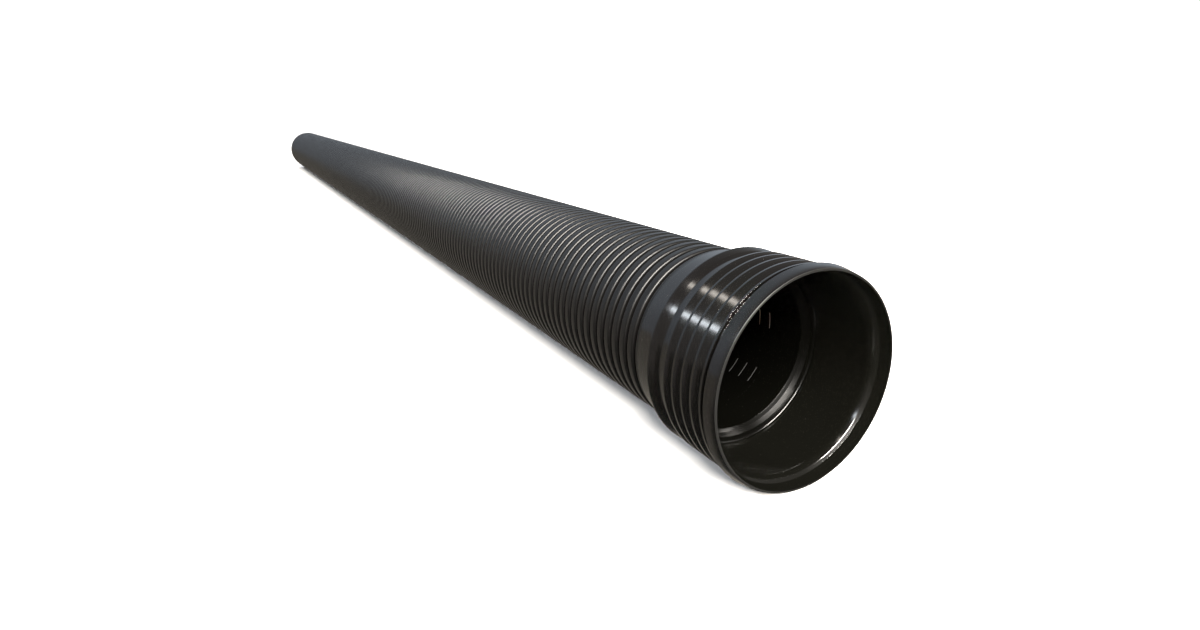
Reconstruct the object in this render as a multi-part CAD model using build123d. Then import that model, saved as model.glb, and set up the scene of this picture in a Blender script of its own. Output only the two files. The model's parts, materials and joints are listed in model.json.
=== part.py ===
"""Corrugated plastic drainage pipe with a moulded-on socket, slotted in its grooves.

The pipe lies along X with its socket at the +X end, and +Z is up. The origin is the centre of the
plain end, so the pipe runs from X = 0 to X = overall_length. All sizes are in millimetres.
A depth is measured from the mouth of the socket along the pipe, and an outline is a list of
(depth, radius) points that is turned about the X axis.
"""
import os

from build123d import *

# Barrel of the pipe
pipe_diameter = 315.0
bore_diameter = 273.0
corrugation_pitch = 25.5
corrugation_count = 232
first_groove_depth = 227.5
groove_mouth = 11.0
groove_floor = 4.5
groove_depth = 16.5
shoulder_drop = 1.6

# Water slots through the floors of the grooves, in rows along one side of the pipe
slot_rows = 5
slot_row_spacing = 45.0
slot_length = 30.0
slot_width = 2.0
first_slot_angle = 185.0

# Inside of the socket
socket_clearance = 1.1
mouth_radius = 169.4
lip_thickness = 1.2
mouth_taper_depth = 19.0
mouth_taper_narrowing = 3.4
throat_depth = 32.0
insertion_depth = 143.0
root_radius = 11.0
stop_width = 5.5
stop_ledge_radius = 141.8
bore_chamfer = 4.0

# Outside of the socket
band_length = 22.6
band_radius = 176.5
band_round = 1.5
lip_groove_radius = 168.6
lip_groove_width = 5.5
trim_ring_width = 6.0
trim_ring_radius = 171.8
rib_radius = 172.4
rib_knee_radius = 169.8
rib_valley_radius = 166.8
rib_pitch = 22.0
rib_length = 18.5
rib_front = 6.5
rib_back = 1.8
rib_count = 4
first_rib_edge_depth = 54.9
bead_radius = 171.8
bead_knee_radius = 170.2
bead_valley_radius = 165.0
bead_edge_depth = 165.0
bead_length = 24.0
bead_front = 9.0
bead_back = 4.0
collar_radius = 159.4
collar_end_depth = 206.0
collar_taper = 2.5

pipe_radius = pipe_diameter / 2
bore_radius = bore_diameter / 2
socket_radius = pipe_radius + socket_clearance
groove_radius = pipe_radius - groove_depth
overall_length = first_groove_depth + corrugation_count * corrugation_pitch


def place(outline):
    """Points of the half section, as X and radius, from depths and radii."""
    return [(overall_length - depth, radius) for depth, radius in outline]


def groove_depths():
    """Depths of the middles of all grooves."""
    return [first_groove_depth + k * corrugation_pitch for k in range(corrugation_count)]


def groove_outline(middle):
    """One groove: shoulder, flank, floor, flank and shoulder, about the depth of its middle."""
    mouth = groove_mouth / 2
    floor = groove_floor / 2
    half = [
        (mouth, pipe_radius),
        (mouth - shoulder_drop, pipe_radius - shoulder_drop),
        (floor, groove_radius),
    ]
    first = [(middle - offset, radius) for offset, radius in half]
    second = [(middle + offset, radius) for offset, radius in reversed(half)]
    return first + second


def rib_outline(edge):
    """One rib of the socket: front foot, knee, crisp back edge and back foot, from its edge's depth."""
    start = edge - rib_length
    return [
        (start, rib_valley_radius),
        (start + rib_front, rib_knee_radius),
        (edge, rib_radius),
        (edge + rib_back, rib_valley_radius),
    ]


def socket_outside():
    """Lip band, narrow groove, trim ring, ribs, bead and collar, from the mouth inwards."""
    groove_start = band_length + band_round
    ring_start = groove_start + lip_groove_width
    points = [
        (0, mouth_radius + lip_thickness / 2),
        (band_length - band_round, band_radius),
        (band_length, band_radius - band_round),
        (groove_start, lip_groove_radius),
        (ring_start, lip_groove_radius),
        (ring_start + trim_ring_width / 3, trim_ring_radius),
        (ring_start + trim_ring_width * 2 / 3, trim_ring_radius),
        (ring_start + trim_ring_width, rib_valley_radius),
    ]
    for k in range(rib_count):
        points += rib_outline(first_rib_edge_depth + k * rib_pitch)
    last_rib_end = points[-1][0]
    bead_start = bead_edge_depth - bead_length
    points += [
        (last_rib_end + rib_back, bead_valley_radius),
        (bead_start, bead_valley_radius),
        (bead_start + bead_front, bead_knee_radius),
        (bead_edge_depth, bead_radius),
        (bead_edge_depth + bead_back, collar_radius),
        (collar_end_depth, collar_radius),
        (collar_end_depth + collar_taper, pipe_radius),
    ]
    return points


def barrel_outside():
    """All grooves of the barrel, and the half groove at which the plain end is cut off."""
    points = []
    for middle in groove_depths():
        points += groove_outline(middle)
    points += groove_outline(overall_length)[:3]
    return points + [(overall_length, groove_radius)]


def bore_inside():
    """The bore from the plain end back to the socket, in one stretch for each corrugation."""
    stretches = [(depth + corrugation_pitch / 2, bore_radius) for depth in groove_depths()[:-1]]
    return [(overall_length, bore_radius)] + stretches[::-1]


def socket_root_and_throat():
    """Outline of the inside of the socket: its root as an arc, and the lines before and after."""
    stop_depth = insertion_depth + stop_width
    root = [
        (stop_depth + bore_chamfer, bore_radius),
        (stop_depth, stop_ledge_radius),
        (insertion_depth, socket_radius - root_radius),
    ]
    throat = [
        (insertion_depth - root_radius, socket_radius),
        (throat_depth, socket_radius),
        (mouth_taper_depth, mouth_radius - mouth_taper_narrowing),
        (0, mouth_radius - lip_thickness / 2),
    ]
    return root, throat


def pipe_section():
    """Half section of the pipe, as a face above the X axis."""
    root, throat = socket_root_and_throat()
    outside = socket_outside() + barrel_outside()
    inside = bore_inside() + root
    walls = place(throat + outside + inside)
    root_arc = RadiusArc(walls[-1], walls[0], -root_radius)
    return make_face([Polyline(*walls), root_arc])


def slot_cutters():
    """Radial boxes that cut the water slots of every groove through the wall."""
    start = bore_radius - slot_width
    height = groove_radius + slot_width - start
    one = Box(slot_width, slot_length, height, align=(Align.CENTER, Align.CENTER, Align.MIN))
    around = [
        Rot(X=first_slot_angle + k * slot_row_spacing) * Pos(0, 0, start) * one
        for k in range(slot_rows)
    ]
    middles = [overall_length - depth for depth in groove_depths()]
    return [Pos(middle, 0, 0) * cutter for middle in middles for cutter in around]


def drainage_pipe():
    """The whole pipe as one solid."""
    body = revolve(pipe_section(), Axis.X)
    return body - slot_cutters()


os.makedirs("parts", exist_ok=True)
export_step(drainage_pipe(), "parts/drainage_pipe.step")
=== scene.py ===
"""Dressed model of a corrugated plastic drainage pipe with a socket, lying on a pale floor.

Everything is in metres. X runs along the pipe from its plain end, at X = 0, to the mouth of the
socket, and +Z is up. A depth is measured from the mouth back along the pipe. The angles among the
constants are in degrees.
"""
import json
from math import radians

import bpy
import numpy as np
from mathutils import Matrix, Vector


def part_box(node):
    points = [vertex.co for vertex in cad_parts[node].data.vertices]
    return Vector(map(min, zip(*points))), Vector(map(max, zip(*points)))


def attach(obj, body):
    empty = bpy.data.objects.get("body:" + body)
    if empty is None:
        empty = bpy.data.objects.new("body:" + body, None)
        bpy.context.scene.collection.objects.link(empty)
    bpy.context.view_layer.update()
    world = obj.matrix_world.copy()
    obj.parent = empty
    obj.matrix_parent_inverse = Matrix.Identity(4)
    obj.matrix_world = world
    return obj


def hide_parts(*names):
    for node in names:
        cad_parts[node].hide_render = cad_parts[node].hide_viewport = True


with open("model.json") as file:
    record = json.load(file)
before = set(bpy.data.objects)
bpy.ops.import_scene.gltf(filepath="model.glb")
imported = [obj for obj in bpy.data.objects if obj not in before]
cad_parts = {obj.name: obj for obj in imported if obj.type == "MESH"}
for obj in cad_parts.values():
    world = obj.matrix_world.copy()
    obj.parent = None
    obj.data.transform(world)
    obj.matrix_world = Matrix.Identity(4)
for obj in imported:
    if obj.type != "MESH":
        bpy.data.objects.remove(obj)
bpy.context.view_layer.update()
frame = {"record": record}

MM = 0.001
NODE = "drainage_pipe"
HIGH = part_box(NODE)[1]
LENGTH = HIGH[0]
MOUNTS = {mount["name"]: mount for mount in frame["record"]["mounts"]}

# Barrel
BORE_RADIUS = MOUNTS["plain_end_bore"]["dims"]["r_mm"] * MM
PIPE_RADIUS = MOUNTS["plain_end"]["dims"]["r_mm"] * MM
PITCH = 25.5 * MM
CORRUGATIONS = 232
FIRST_GROOVE = LENGTH - CORRUGATIONS * PITCH
GROOVE_MOUTH = 11.0 * MM
GROOVE_FLOOR = 4.5 * MM
GROOVE_DEPTH = 16.5 * MM
FLANK_TOP = 3.9 * MM
SHOULDER_ROUND = 4.4 * MM
SHOULDER_POINTS = 9
GROOVE_RADIUS = PIPE_RADIUS - GROOVE_DEPTH

# Water slots
SLOT_ROWS = 5
SLOT_SPACING = 45.0
SLOT_PLACES = round(360 / SLOT_SPACING)
SLOT_LENGTH = 30.0 * MM
SLOT_WIDTH = 2.0 * MM
FIRST_SLOT_ANGLE = 185.0

# Inside of the socket
SOCKET_RADIUS = MOUNTS["socket"]["dims"]["r_mm"] * MM
MOUTH_RADIUS = 169.4 * MM
LIP_THICKNESS = 1.2 * MM
LIP_FACE = 2.8 * MM
LIP_ROUND = 1.4 * MM
MOUTH_TAPER_DEPTH = 19.0 * MM
MOUTH_TAPER_NARROWING = 3.4 * MM
THROAT_FLARE_DEPTH = 23.0 * MM
THROAT_FLARE_WIDENING = 3.2 * MM
THROAT_DEPTH = 32.0 * MM
INSERTION_DEPTH = 143.0 * MM
ROOT_RADIUS = 11.0 * MM
STOP_WIDTH = 5.5 * MM
STOP_LEDGE_RADIUS = 141.8 * MM
BORE_CHAMFER = 4.0 * MM

# Outside of the socket
BAND_LENGTH = 22.6 * MM
BAND_RADIUS = HIGH[2]
BAND_ROUND = 1.5 * MM
LIP_GROOVE_RADIUS = 168.6 * MM
LIP_GROOVE_WIDTH = 6.1 * MM
TRIM_RING_LAND = 4.0 * MM
TRIM_RING_SIDE = 1.0 * MM
TRIM_RING_RADIUS = 173.0 * MM
RIB_RADIUS = 172.4 * MM
RIB_VALLEY_RADIUS = 166.8 * MM
RIB_PITCH = 22.0 * MM
RIB_KNEE_RADIUS = 170.6 * MM
RIB_LENGTH = 15.4 * MM
RIB_FRONT = 6.6 * MM
RIB_LAND = 3.8 * MM
RIB_BACK = 1.6 * MM
RIB_COUNT = 4
FIRST_RIB_EDGE = 57.0 * MM
BEAD_RADIUS = 172.0 * MM
BEAD_KNEE_RADIUS = 167.6 * MM
BEAD_VALLEY_RADIUS = 163.5 * MM
BEAD_EDGE = 166.4 * MM
BEAD_LENGTH = 23.0 * MM
BEAD_FRONT = 7.2 * MM
BEAD_LAND = 3.2 * MM
BEAD_BACK = 3.6 * MM
COLLAR_RADIUS = 159.4 * MM
COLLAR_END = 206.0 * MM
COLLAR_TAPER = 2.5 * MM

# Roundings of the socket's corners: radii, steps of each arc and share of a side that one may use
SOFT = 3.0 * MM
CRISP = 0.4 * MM
ARC_STEPS = 6
SIDE_SHARE = 0.49

# How the pipe is cut into meshes, all at crests, and the columns of each mesh round the axis
SOCKET_CUT = 0.5 * (COLLAR_END + COLLAR_TAPER + FIRST_GROOVE - GROOVE_MOUTH / 2)
NEAR_CORRUGATIONS = 36
FAR_PARTS = 4
SOCKET_COLUMNS = 256
NEAR_COLUMNS = 96
FAR_COLUMNS = 64

# Edges that turn by more than this stay sharp
SHARP_ANGLE = 38

# Slack when two lengths are compared
TINY = 1e-7

# Finishes: colour, specular level and roughness; some colours hold painted light or shade, as noted
GLOSSY = ((0.0012, 0.0011, 0.0010, 1), 0.50, 0.14)
SATIN = ((0.0012, 0.0011, 0.0010, 1), 0.24, 0.36)
# Lighter than the outside: painted light on the inside of the socket
SOCKET_INSIDE_PAINTED_LIGHT = ((0.0018, 0.0018, 0.0014, 1), 0.45, 0.15)
# Darker than the outside: painted shade deep inside the bore
BORE_INSIDE_PAINTED_SHADE = ((0.0008, 0.0008, 0.0006, 1), 0.22, 0.18)
# Lighter than the rest: partly the trimmed plastic's own tone, partly a painted highlight along the
# lip's edge
TRIMMED_RIM_WITH_PAINTED_HIGHLIGHT = ((0.0060, 0.0060, 0.0057, 1), 0.25, 0.35)
# Lighter than the plastic: partly the cut's own rough tone, partly painted light on the slot walls
CUT_PLASTIC_WITH_PAINTED_LIGHT = ((0.03, 0.03, 0.03, 1), 0.3, 0.6)
PALE_FLOOR = ((0.88, 0.87, 0.86, 1), 0.1, 0.9)

# Unevenness of the moulded plastic: clouds in the gloss, ripples in the surface and specks of dust
CLOUD_SCALE = 22.0
CLOUD_DETAIL = 5.0
CLOUD_GLOSS = 0.08
RIPPLE_SCALE = 25.0
RIPPLE_DETAIL = 2.0
RIPPLE_HEIGHT = 0.10 * MM
RIPPLE_STRENGTH = 0.5
DUST_SCALE = 130.0
DUST_SIZE = 0.03
DUSTY_FROM = 0.54
DUST_DULLNESS = 0.2
DUST_COLOUR = (0.08, 0.075, 0.065, 1)

# Surroundings. A direction's share along BACK_WAY grows towards the plain end, and the pairs are
# the shares or heights between which one zone fades into the next.
BACK_WAY = (-1, -0.13, 0.08)
BACK_FADE = (0.41, 0.46)
SIDE_FADE = (0.02, 0.30)
HORIZON_FADE = (-0.02, 0.02)
SKY_FADE = (0.10, 0.45)
LIT_GROUND_FADE = (-0.93, -0.80)
SHADE_FADE = (-0.60, -0.20)
LOW_BACK_SKY = (0.56, 0.61, 0.68, 1)
HIGH_BACK_SKY = (0.82, 0.92, 1.04, 1)
DIM_SKY = (0.33, 0.31, 0.30, 1)
LIT_GROUND = (0.46, 0.42, 0.36, 1)
SIDE_GROUND = (0.30, 0.28, 0.27, 1)
DARK_GROUND = (0.05, 0.05, 0.045, 1)
BACKDROP = (1.1, 1.1, 1.1, 1)

# Lamps that the gloss mirrors, all measured from a point just in front of the bead. The two side
# lamps run along X and have a name, a way to the side and up, a brightness and a colour.
LAMP_TARGET = (LENGTH - 0.14, -0.13, 0.11)
SIDE_LAMP_DISTANCE = 4.4
SIDE_LAMP_REACH = (-0.9, 2.6)
SIDE_LAMP_WIDTH = 0.36
SIDE_LAMPS = [
    ("cool_lamp", (0, -0.797, 0.604), 25.0, (0.88, 0.94, 1.0)),
    ("warm_lamp", (0, -0.402, 0.916), 15.0, (1.0, 0.93, 0.84)),
]
FRONT_LAMP_LOW_END = (7.3, -4.9, 4.6)
FRONT_LAMP_HIGH_END = (5.7, 1.0, 8.1)
FRONT_LAMP_WIDTH = 0.8
FRONT_LAMP_BRIGHTNESS = 430.0
FRONT_LAMP_COLOUR = (1.0, 0.95, 0.88)
EVEN_LIGHT_ENERGY = 2.4
EVEN_LIGHT_ANGLE = 100

FLOOR_REACH = 400.0

# Camera. The focal length and the optical axis are in pixels of the photograph's frame.
FRAME_PIXELS = (1200, 630)
FOCAL_PIXELS = 666.6
AXIS_PIXEL = (558.0, 289.9)
SENSOR_WIDTH = 36.0
CAMERA_RANGE = 200
CAMERA_RIGHT = (0.4412, 0.8974, 0.0)
CAMERA_FORWARD = (-0.8655, 0.4255, -0.2642)
CAMERA_PLACE = (LENGTH + 0.6413, -0.7220, 0.3868)


def rounded(corners, steps):
    """Polyline whose corners are rounded off.

    Each corner is (x, r, radius). A corner with a radius becomes a circular arc that touches both
    of its sides and is given as steps + 1 points. Where a side is too short, the arc is cut back so
    that it uses no more than SIDE_SHARE of it.
    """
    corners = np.array(corners, float)
    points = [corners[0, :2]]
    for before, corner, after in zip(corners, corners[1:], corners[2:]):
        into = before[:2] - corner[:2]
        out = after[:2] - corner[:2]
        reach_in = np.linalg.norm(into)
        reach_out = np.linalg.norm(out)
        into = into / reach_in
        out = out / reach_out
        half = 0.5 * np.arccos(np.clip(into @ out, -1, 1))
        back = min(corner[2] / np.tan(half), SIDE_SHARE * reach_in, SIDE_SHARE * reach_out)
        if back < TINY:
            points.append(corner[:2])
            continue
        radius = back * np.tan(half)
        middle = into + out
        centre = corner[:2] + middle / np.linalg.norm(middle) * radius / np.sin(half)
        start = corner[:2] + into * back - centre
        end = corner[:2] + out * back - centre
        first = np.arctan2(start[1], start[0])
        turn = (np.arctan2(end[1], end[0]) - first + np.pi) % (2 * np.pi) - np.pi
        angles = first + turn * np.linspace(0, 1, steps + 1)
        points += list(centre + radius * np.column_stack([np.cos(angles), np.sin(angles)]))
    points.append(corners[-1, :2])
    return np.array(points)


def column_angles(columns):
    """Angles of the mesh columns about the axis, with the ends of every slot on a column.

    The turn is divided into SLOT_PLACES sectors. Each holds one place for a slot and one plain
    stretch, both divided evenly, and only the first SLOT_ROWS of the places have a slot. Angle 0 is
    +Z, and a positive angle turns +Z towards -Y, as a turn about the X axis does. The second array
    says which columns lie on a slot.
    """
    half_slot = np.degrees(np.arcsin(SLOT_LENGTH / 2 / BORE_RADIUS))
    sector = columns // SLOT_PLACES
    on_slot = max(2, round(sector * 2 * half_slot / SLOT_SPACING))
    plain = sector - on_slot
    steps = np.concatenate([
        np.linspace(-half_slot, half_slot, on_slot, endpoint=False),
        np.linspace(half_slot, SLOT_SPACING - half_slot, plain, endpoint=False),
    ])
    starts = FIRST_SLOT_ANGLE + SLOT_SPACING * np.arange(SLOT_PLACES)
    in_slot = np.zeros((SLOT_PLACES, sector), bool)
    in_slot[:SLOT_ROWS, :on_slot] = True
    return np.radians((starts[:, None] + steps).ravel()), in_slot.ravel()


def new_piece(name, vertices, groups):
    """Mesh object from an array of vertices and groups of four-cornered faces with a material.

    It is smooth but for edges sharper than SHARP_ANGLE.
    """
    faces = np.vstack([group.reshape(-1, 4) for group, _ in groups])
    places = np.repeat(np.arange(len(groups)), [group.size // 4 for group, _ in groups])
    mesh = bpy.data.meshes.new(name)
    mesh.vertices.add(len(vertices))
    mesh.vertices.foreach_set("co", vertices.astype(np.float32).ravel())
    mesh.loops.add(faces.size)
    mesh.loops.foreach_set("vertex_index", faces.astype(np.int32).ravel())
    mesh.polygons.add(len(faces))
    mesh.polygons.foreach_set("loop_start", np.arange(0, faces.size, 4, dtype=np.int32))
    for _, material in groups:
        mesh.materials.append(material)
    mesh.polygons.foreach_set("material_index", places.astype(np.int32))
    mesh.update(calc_edges=True)
    mesh.validate()
    mesh.set_sharp_from_angle(angle=radians(SHARP_ANGLE))
    piece = bpy.data.objects.new(name, mesh)
    bpy.context.scene.collection.objects.link(piece)
    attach(piece, "root")
    return piece


def turned(profile, angles):
    """Closed ring: a closed profile of (x, r) points carried round the X axis.

    Vertex (i, j) is (x_i, -r_i sin a_j, r_i cos a_j), and each face joins two profile points and
    two angles. The profile runs towards -X along the outside and back along the bore.
    """
    x = profile[:, 0:1]
    r = profile[:, 1:2]
    ones = np.ones_like(angles)
    grid = np.stack([x * ones, -r * np.sin(angles), r * np.cos(angles)], -1)
    rows, columns = grid.shape[:2]
    number = np.arange(rows * columns).reshape(rows, columns)
    down = np.roll(number, -1, 0)
    faces = np.stack([number, down, np.roll(down, -1, 1), np.roll(number, -1, 1)], -1)
    return grid.reshape(-1, 3), faces, number


def corrugation():
    """One pitch of the outside, from the middle of a groove to the middle of the next.

    Floor with the half width of a slot marked on it, flank, a shoulder that is a quarter of a
    circle, and level crest, then the same mirrored. A point at angle a round the shoulder lies its
    radius times 1 - cos a past the top of the flank and its radius times 1 - sin a below the crest.
    """
    around = np.linspace(0, np.pi / 2, SHOULDER_POINTS)
    shoulder = np.column_stack([
        FLANK_TOP + SHOULDER_ROUND * (1 - np.cos(around)),
        PIPE_RADIUS - SHOULDER_ROUND * (1 - np.sin(around)),
    ])
    floor = [[SLOT_WIDTH / 2, GROOVE_RADIUS], [GROOVE_FLOOR / 2, GROOVE_RADIUS]]
    half = np.vstack([floor, shoulder, [[PITCH / 2, PIPE_RADIUS]]])
    mirrored = half[-2::-1] * [-1, 1] + [PITCH, 0]
    return np.vstack([half, mirrored])


def barrel_profile(first, count):
    """Closed profile of the barrel round the given grooves, as (x, r) points.

    It is cut at crests, but at the plain end in the middle of a groove. The bore has two points for
    the slots of each groove. Also gives the number of points on the outside, and the rows of faces
    that the slots of each groove go through, on the outside and in the bore.
    """
    wave = corrugation()
    crest = np.argmax(wave[:, 0] >= PITCH / 2 - TINY)
    one = np.vstack([wave[crest:] - [PITCH, 0], wave[:crest + 1]])
    grooves = FIRST_GROOVE + PITCH * np.arange(first, first + count)
    depth = grooves[:, None] + one[None, :-1, 0]
    radius = np.broadcast_to(one[:-1, 1], depth.shape)
    outside = np.column_stack([
        np.append(depth, grooves[-1] + one[-1:, 0]),
        np.append(radius, one[-1:, 1]),
    ])
    if first + count == CORRUGATIONS:
        half = wave[crest:-1] + [grooves[-1], 0]
        outside = np.vstack([outside[:-1], half, [[LENGTH, GROOVE_RADIUS]]])
    marks = (grooves[:, None] + np.array([-0.5, 0.5]) * SLOT_WIDTH).ravel()
    bore_depth = np.concatenate([[outside[0, 0]], marks, [outside[-1, 0]]])[::-1]
    inside = np.column_stack([bore_depth, np.full_like(bore_depth, BORE_RADIUS)])
    profile = np.vstack([outside, inside]) * [-1, 1] + [LENGTH, 0]
    floor_row = len(one) // 2 - 1 + (len(one) - 1) * np.arange(count)
    bore_row = len(outside) + 2 * (count - np.arange(count)) - 1
    return profile, len(outside), floor_row, bore_row


def barrel_part(name, first, count, columns, outer, inner, cut):
    """Length of the barrel that holds the given grooves, closed at both ends.

    The outside and the bore are one turned ring. The faces that a slot goes through are left out of
    the floor and of the bore, and four walls through the plastic join the two.
    """
    profile, skin_rows, floor_row, bore_row = barrel_profile(first, count)
    angles, in_slot = column_angles(columns)
    vertices, faces, number = turned(profile, angles)

    here = np.flatnonzero(in_slot)
    after = (here + 1) % columns
    keep = np.ones(faces.shape[:2], bool)
    keep[np.ix_(floor_row, here)] = False
    keep[np.ix_(bore_row, here)] = False

    # Rows of points along both long edges of the slots, where near is the edge nearer the mouth
    near_floor = number[floor_row]
    far_floor = number[floor_row + 1]
    near_bore = number[bore_row + 1]
    far_bore = number[bore_row]
    near_wall = np.stack([
        near_floor[:, after], near_floor[:, here], near_bore[:, here], near_bore[:, after]], -1)
    far_wall = np.stack([
        far_floor[:, here], far_floor[:, after], far_bore[:, after], far_bore[:, here]], -1)
    starts = np.flatnonzero(in_slot & ~np.roll(in_slot, 1))
    ends = (np.flatnonzero(in_slot & ~np.roll(in_slot, -1)) + 1) % columns
    start_wall = np.stack([
        near_floor[:, starts], far_floor[:, starts], far_bore[:, starts], near_bore[:, starts]], -1)
    end_wall = np.stack([
        far_floor[:, ends], near_floor[:, ends], near_bore[:, ends], far_bore[:, ends]], -1)
    walls = np.vstack([wall.reshape(-1, 4) for wall in (near_wall, far_wall, start_wall, end_wall)])

    skin = faces[:skin_rows][keep[:skin_rows]]
    bore = faces[skin_rows:][keep[skin_rows:]]
    return new_piece(name, vertices, [(skin, outer), (bore, inner), (walls, cut)])


def rib_corners(edge):
    """One rib: foot, steep front, knee, gentler front, flat land and crisp back edge."""
    start = edge - RIB_LENGTH
    return [
        (start, RIB_VALLEY_RADIUS, SOFT),
        (start + RIB_FRONT, RIB_KNEE_RADIUS, 2 * SOFT),
        (edge - RIB_LAND, RIB_RADIUS, CRISP),
        (edge, RIB_RADIUS, CRISP),
        (edge + RIB_BACK, RIB_VALLEY_RADIUS, CRISP),
    ]


def socket_corners():
    """Corners of the socket's profile, as (depth, r, radius), from the mouth outside and back inside.

    The first is only there to give the lip's rounding a side to touch. The root's rounding is cut
    back to about half of the flat face beside it.
    """
    groove_start = BAND_LENGTH + BAND_ROUND
    ring = groove_start + LIP_GROOVE_WIDTH
    corners = [
        (0, SOCKET_RADIUS, 0),
        (0, MOUTH_RADIUS + LIP_FACE, LIP_ROUND),
        (BAND_LENGTH - BAND_ROUND, BAND_RADIUS, CRISP),
        (BAND_LENGTH, BAND_RADIUS - BAND_ROUND, CRISP),
        (groove_start, LIP_GROOVE_RADIUS, CRISP),
        (ring, LIP_GROOVE_RADIUS, CRISP),
        (ring + TRIM_RING_SIDE, TRIM_RING_RADIUS, CRISP),
        (ring + TRIM_RING_SIDE + TRIM_RING_LAND, TRIM_RING_RADIUS, CRISP),
        (ring + 2 * TRIM_RING_SIDE + TRIM_RING_LAND, RIB_VALLEY_RADIUS, CRISP),
    ]
    for k in range(RIB_COUNT):
        corners += rib_corners(FIRST_RIB_EDGE + k * RIB_PITCH)
    corners += [
        (corners[-1][0] + RIB_BACK, BEAD_VALLEY_RADIUS, CRISP),
        (BEAD_EDGE - BEAD_LENGTH, BEAD_VALLEY_RADIUS, 2 * SOFT),
        (BEAD_EDGE - BEAD_LENGTH + BEAD_FRONT, BEAD_KNEE_RADIUS, 3 * SOFT),
        (BEAD_EDGE - BEAD_LAND, BEAD_RADIUS, CRISP),
        (BEAD_EDGE, BEAD_RADIUS, CRISP),
        (BEAD_EDGE + BEAD_BACK, COLLAR_RADIUS, CRISP),
        (COLLAR_END, COLLAR_RADIUS, CRISP),
        (COLLAR_END + COLLAR_TAPER, PIPE_RADIUS, CRISP),
        (SOCKET_CUT, PIPE_RADIUS, 0),
        (SOCKET_CUT, BORE_RADIUS, 0),
        (INSERTION_DEPTH + STOP_WIDTH + BORE_CHAMFER, BORE_RADIUS, CRISP),
        (INSERTION_DEPTH + STOP_WIDTH, STOP_LEDGE_RADIUS, CRISP),
        (INSERTION_DEPTH, SOCKET_RADIUS - ROOT_RADIUS, CRISP),
        (INSERTION_DEPTH, SOCKET_RADIUS, ROOT_RADIUS),
        (THROAT_DEPTH, SOCKET_RADIUS, 10 * SOFT),
        (THROAT_FLARE_DEPTH, SOCKET_RADIUS + THROAT_FLARE_WIDENING, 2 * SOFT),
        (MOUTH_TAPER_DEPTH, MOUTH_RADIUS - MOUTH_TAPER_NARROWING, CRISP),
        (0, MOUTH_RADIUS - LIP_THICKNESS / 2, 0),
    ]
    return corners


def socket_part(outer, inner, rim, bore):
    """The socket, turned from one closed profile with rounded corners, cut at a crest.

    The profile starts with the rounding of the lip and ends at the lip's inner edge, so its closing
    face and its first faces are the trimmed rim. From the cut to the end of the root's rounding it
    has the bore's material, whose darker colour is painted shade.
    """
    profile = rounded(socket_corners(), ARC_STEPS)[1:] * [-1, 1] + [LENGTH, 0]
    angles = np.linspace(0, 2 * np.pi, SOCKET_COLUMNS, endpoint=False)
    vertices, faces, _ = turned(profile, angles)
    cut = np.argmax(profile[:, 1] < BORE_RADIUS + TINY)
    throat = cut + np.argmax(profile[cut:, 1] > SOCKET_RADIUS - TINY)
    return new_piece("socket", vertices, [
        (np.vstack([faces[-1:], faces[:ARC_STEPS]]), rim),
        (faces[ARC_STEPS:cut], outer),
        (faces[cut:throat], bore),
        (faces[throat:-1], inner),
    ])


class Socket:
    """Shader socket whose sums, differences, products and comparisons add Math nodes."""

    def __init__(self, nodes, output):
        self.nodes = nodes
        self.output = output

    def _math(self, operation, first, second):
        return self.nodes.add("ShaderNodeMath", {"operation": operation}, {0: first, 1: second})

    def __add__(self, other):
        return self._math("ADD", self, other)

    def __radd__(self, other):
        return self._math("ADD", other, self)

    def __sub__(self, other):
        return self._math("SUBTRACT", self, other)

    def __rsub__(self, other):
        return self._math("SUBTRACT", other, self)

    def __mul__(self, other):
        return self._math("MULTIPLY", self, other)

    def __rmul__(self, other):
        return self._math("MULTIPLY", other, self)

    def __gt__(self, other):
        return self._math("GREATER_THAN", self, other)

    def __lt__(self, other):
        return self._math("LESS_THAN", self, other)


class Nodes:
    """Emptied node tree of a material or the world, with one method that adds any node."""

    def __init__(self, owner):
        owner.use_nodes = True
        self.tree = owner.node_tree
        self.tree.nodes.clear()

    def add(self, kind, settings=None, inputs=None, output=0):
        """Add a node, set its settings, then set or link its sockets, and give one output."""
        node = self.tree.nodes.new(kind)
        for key, value in (settings or {}).items():
            setattr(node, key, value)
        for key, value in (inputs or {}).items():
            if isinstance(value, Socket):
                self.tree.links.new(value.output, node.inputs[key])
            else:
                node.inputs[key].default_value = value
        return Socket(self, node.outputs[output]) if node.outputs else None

    def mix(self, factor, first, second):
        """Colour between two colours."""
        settings = {"data_type": "RGBA"}
        return self.add("ShaderNodeMix", settings, {0: factor, 6: first, 7: second}, output=2)

    def smooth(self, value, fade):
        """Soft step from 0 at the first value of a pair to 1 at the second."""
        settings = {"interpolation_type": "SMOOTHSTEP"}
        inputs = {"Value": value, "From Min": fade[0], "From Max": fade[1]}
        return self.add("ShaderNodeMapRange", settings, inputs)


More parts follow.
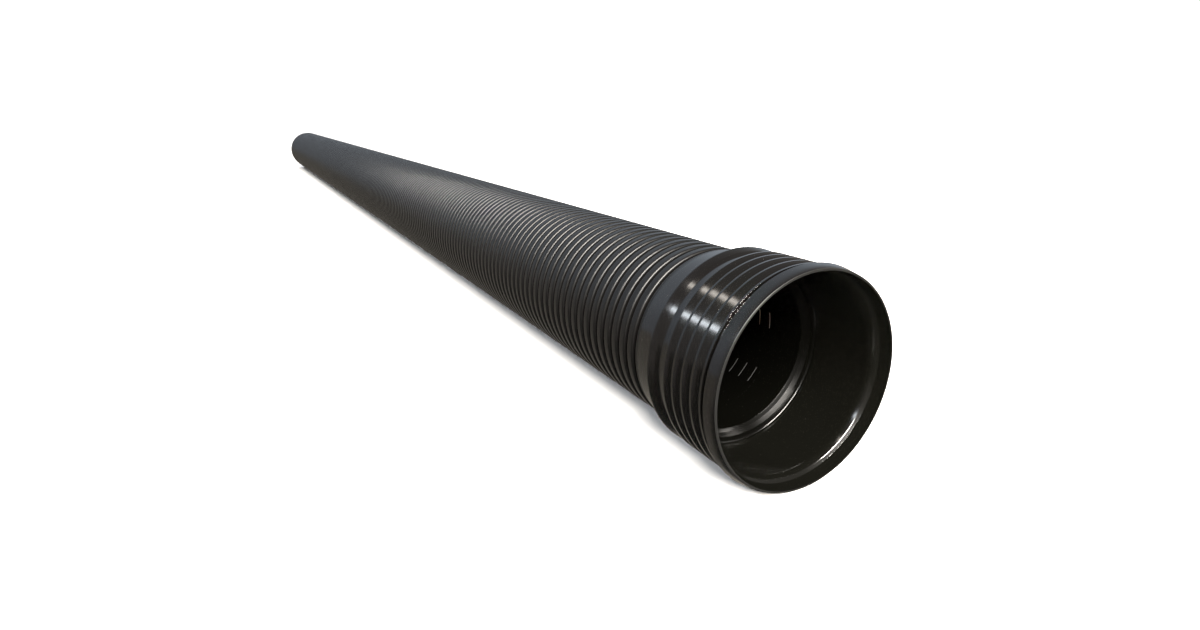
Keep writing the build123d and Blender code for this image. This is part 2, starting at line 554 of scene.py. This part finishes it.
def black_plastic(name, colour, specular, roughness):
    """Black polyethylene: near-black, with cloudy gloss, dust specks and shallow waviness."""
    material = bpy.data.materials.new(name)
    n = Nodes(material)
    place = n.add("ShaderNodeTexCoord", output="Object")
    cloud = n.add("ShaderNodeTexNoise", inputs={
        "Vector": place, "Scale": CLOUD_SCALE, "Detail": CLOUD_DETAIL})
    ripple = n.add("ShaderNodeTexNoise", inputs={
        "Vector": place, "Scale": RIPPLE_SCALE, "Detail": RIPPLE_DETAIL})
    speck = n.add("ShaderNodeTexVoronoi", inputs={"Vector": place, "Scale": DUST_SCALE})
    dust = (speck < DUST_SIZE) * (cloud > DUSTY_FROM)
    paint = n.mix(dust, colour, DUST_COLOUR)
    gloss = roughness + CLOUD_GLOSS * (cloud - 0.5) + DUST_DULLNESS * dust
    bump = n.add("ShaderNodeBump", inputs={
        "Strength": RIPPLE_STRENGTH, "Distance": RIPPLE_HEIGHT, "Height": ripple})
    shader = n.add("ShaderNodeBsdfPrincipled", inputs={
        "Base Color": paint, "Roughness": gloss, "Normal": bump, "Specular IOR Level": specular})
    n.add("ShaderNodeOutputMaterial", inputs={"Surface": shader})
    return material


def plain_material(name, colour, specular, roughness):
    """Plain matt finish: the floor, or cut plastic whose colour is partly painted light."""
    material = bpy.data.materials.new(name)
    n = Nodes(material)
    shader = n.add("ShaderNodeBsdfPrincipled", inputs={
        "Base Color": colour, "Roughness": roughness, "Specular IOR Level": specular})
    n.add("ShaderNodeOutputMaterial", inputs={"Surface": shader})
    return material


def add_floor():
    """Pale floor that touches the pipe under its lip band and under its plain end."""
    slope = (PIPE_RADIUS - BAND_RADIUS) / (LENGTH - BAND_LENGTH)
    x = np.array([-FLOOR_REACH, FLOOR_REACH, FLOOR_REACH, -FLOOR_REACH]) + LENGTH / 2
    y = np.array([-FLOOR_REACH, -FLOOR_REACH, FLOOR_REACH, FLOOR_REACH])
    z = slope * x - PIPE_RADIUS
    mesh = bpy.data.meshes.new("floor")
    mesh.from_pydata(np.column_stack([x, y, z]).tolist(), [], [(0, 1, 2, 3)])
    floor = bpy.data.objects.new("floor", mesh)
    bpy.context.scene.collection.objects.link(floor)
    mesh.materials.append(plain_material("pale_floor", *PALE_FLOOR))
    floor.visible_glossy = False


def add_surroundings():
    """Studio around the pipe, as its gloss mirrors it.

    Above the horizon it is bright and bluish towards the plain end, most of all high up, and dim
    elsewhere. Below the horizon it is lit and warm towards the plain end, dim to the sides of that
    and nearly black straight down and in front of the mouth. The camera sees plain white.
    """
    world = bpy.data.worlds.new("surroundings")
    n = Nodes(world)
    way = n.add("ShaderNodeTexCoord", output="Generated")
    height = n.add("ShaderNodeSeparateXYZ", inputs={"Vector": way}, output="Z")
    share = n.add("ShaderNodeVectorMath", {"operation": "DOT_PRODUCT"}, {0: way, 1: BACK_WAY},
                  output="Value")
    behind = n.smooth(share, BACK_FADE)
    beside = n.smooth(share, SIDE_FADE)
    back_sky = n.mix(n.smooth(height, SKY_FADE), LOW_BACK_SKY, HIGH_BACK_SKY)
    sky = n.mix(behind, DIM_SKY, back_sky)
    shade = n.mix(beside * n.smooth(height, SHADE_FADE), DARK_GROUND, SIDE_GROUND)
    ground = n.mix(behind * n.smooth(height, LIT_GROUND_FADE), shade, LIT_GROUND)
    around = n.mix(n.smooth(height, HORIZON_FADE), ground, sky)
    seen = n.add("ShaderNodeLightPath", output="Is Camera Ray")
    colour = n.mix(seen, around, BACKDROP)
    background = n.add("ShaderNodeBackground", inputs={"Color": colour})
    n.add("ShaderNodeOutputWorld", inputs={"Surface": background})
    bpy.context.scene.world = world


def add_strip(name, start, end, width, brightness, colour):
    """Long flat lamp between two points measured from the lamps' target, with its face to it.

    The lamp's energy is pi times its brightness times its area.
    """
    target = Vector(LAMP_TARGET)
    start = target + Vector(start)
    end = target + Vector(end)
    middle = 0.5 * (start + end)
    along = (end - start).normalized()
    back = (middle - target).normalized()
    across = back.cross(along).normalized()
    light = bpy.data.lights.new(name, "AREA")
    light.shape = "RECTANGLE"
    light.size = (end - start).length
    light.size_y = width
    light.energy = brightness * np.pi * light.size * light.size_y
    light.color = colour
    lamp = bpy.data.objects.new(name, light)
    turn = Matrix((along, across, along.cross(across))).transposed()
    lamp.matrix_world = Matrix.Translation(middle) @ turn.to_4x4()
    bpy.context.scene.collection.objects.link(lamp)


def add_lights():
    """Three long lamps that the gloss mirrors, and even light for the floor."""
    for name, way, brightness, colour in SIDE_LAMPS:
        start, end = [SIDE_LAMP_DISTANCE * Vector(way) + Vector((x, 0, 0)) for x in SIDE_LAMP_REACH]
        add_strip(name, start, end, SIDE_LAMP_WIDTH, brightness, colour)
    add_strip("front_lamp", FRONT_LAMP_LOW_END, FRONT_LAMP_HIGH_END, FRONT_LAMP_WIDTH,
              FRONT_LAMP_BRIGHTNESS, FRONT_LAMP_COLOUR)
    sun = bpy.data.lights.new("even_light", "SUN")
    sun.energy = EVEN_LIGHT_ENERGY
    sun.angle = radians(EVEN_LIGHT_ANGLE)
    even = bpy.data.objects.new("even_light", sun)
    even.visible_glossy = False
    bpy.context.scene.collection.objects.link(even)


def add_camera():
    """Camera at the photograph's place: in front of the mouth, to its left and above.

    The photograph's optical axis lies a little off the middle of its frame, hence the shift.
    """
    wide, tall = FRAME_PIXELS
    camera = bpy.data.cameras.new("camera")
    camera.sensor_width = SENSOR_WIDTH
    camera.lens = FOCAL_PIXELS / wide * SENSOR_WIDTH
    camera.shift_x = (wide / 2 - AXIS_PIXEL[0]) / wide
    camera.shift_y = (AXIS_PIXEL[1] - tall / 2) / wide
    camera.clip_end = CAMERA_RANGE
    right = Vector(CAMERA_RIGHT).normalized()
    forward = Vector(CAMERA_FORWARD).normalized()
    up = right.cross(forward)
    view = bpy.data.objects.new("camera", camera)
    turn = Matrix((right, up, -forward)).transposed()
    view.matrix_world = Matrix.Translation(CAMERA_PLACE) @ turn.to_4x4()
    bpy.context.scene.collection.objects.link(view)
    bpy.context.scene.camera = view


def add_pipe():
    """The socket and the parts of the barrel, in place of the plain solid."""
    glossy = black_plastic("glossy_black_plastic", *GLOSSY)
    satin = black_plastic("satin_black_plastic", *SATIN)
    # Its lighter colour is painted light inside the socket
    inner = black_plastic("inner_plastic_painted_light", *SOCKET_INSIDE_PAINTED_LIGHT)
    # Its darker colour is painted shade inside the bore
    bore = black_plastic("bore_plastic_painted_shade", *BORE_INSIDE_PAINTED_SHADE)
    # Its lighter colour is partly the trimmed plastic's tone, partly a painted highlight on the lip's
    # edge
    rim = black_plastic("trimmed_rim_painted_highlight", *TRIMMED_RIM_WITH_PAINTED_HIGHLIGHT)
    # Its lighter colour is partly the cut's own tone, partly painted light on the slot walls
    cut = plain_material("cut_plastic_painted_light", *CUT_PLASTIC_WITH_PAINTED_LIGHT)
    pieces = [
        socket_part(glossy, inner, rim, bore),
        barrel_part("barrel_near_socket", 0, NEAR_CORRUGATIONS, NEAR_COLUMNS, satin, bore, cut),
    ]
    share = (CORRUGATIONS - NEAR_CORRUGATIONS) // FAR_PARTS
    for k in range(FAR_PARTS):
        first = NEAR_CORRUGATIONS + k * share
        pieces.append(barrel_part(f"barrel_{k + 1}", first, share, FAR_COLUMNS, satin, bore, cut))
    for piece in pieces:
        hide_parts(NODE)


add_camera()
add_floor()
add_surroundings()
add_lights()
add_pipe()
bpy.context.scene.view_settings.view_transform = "Standard"
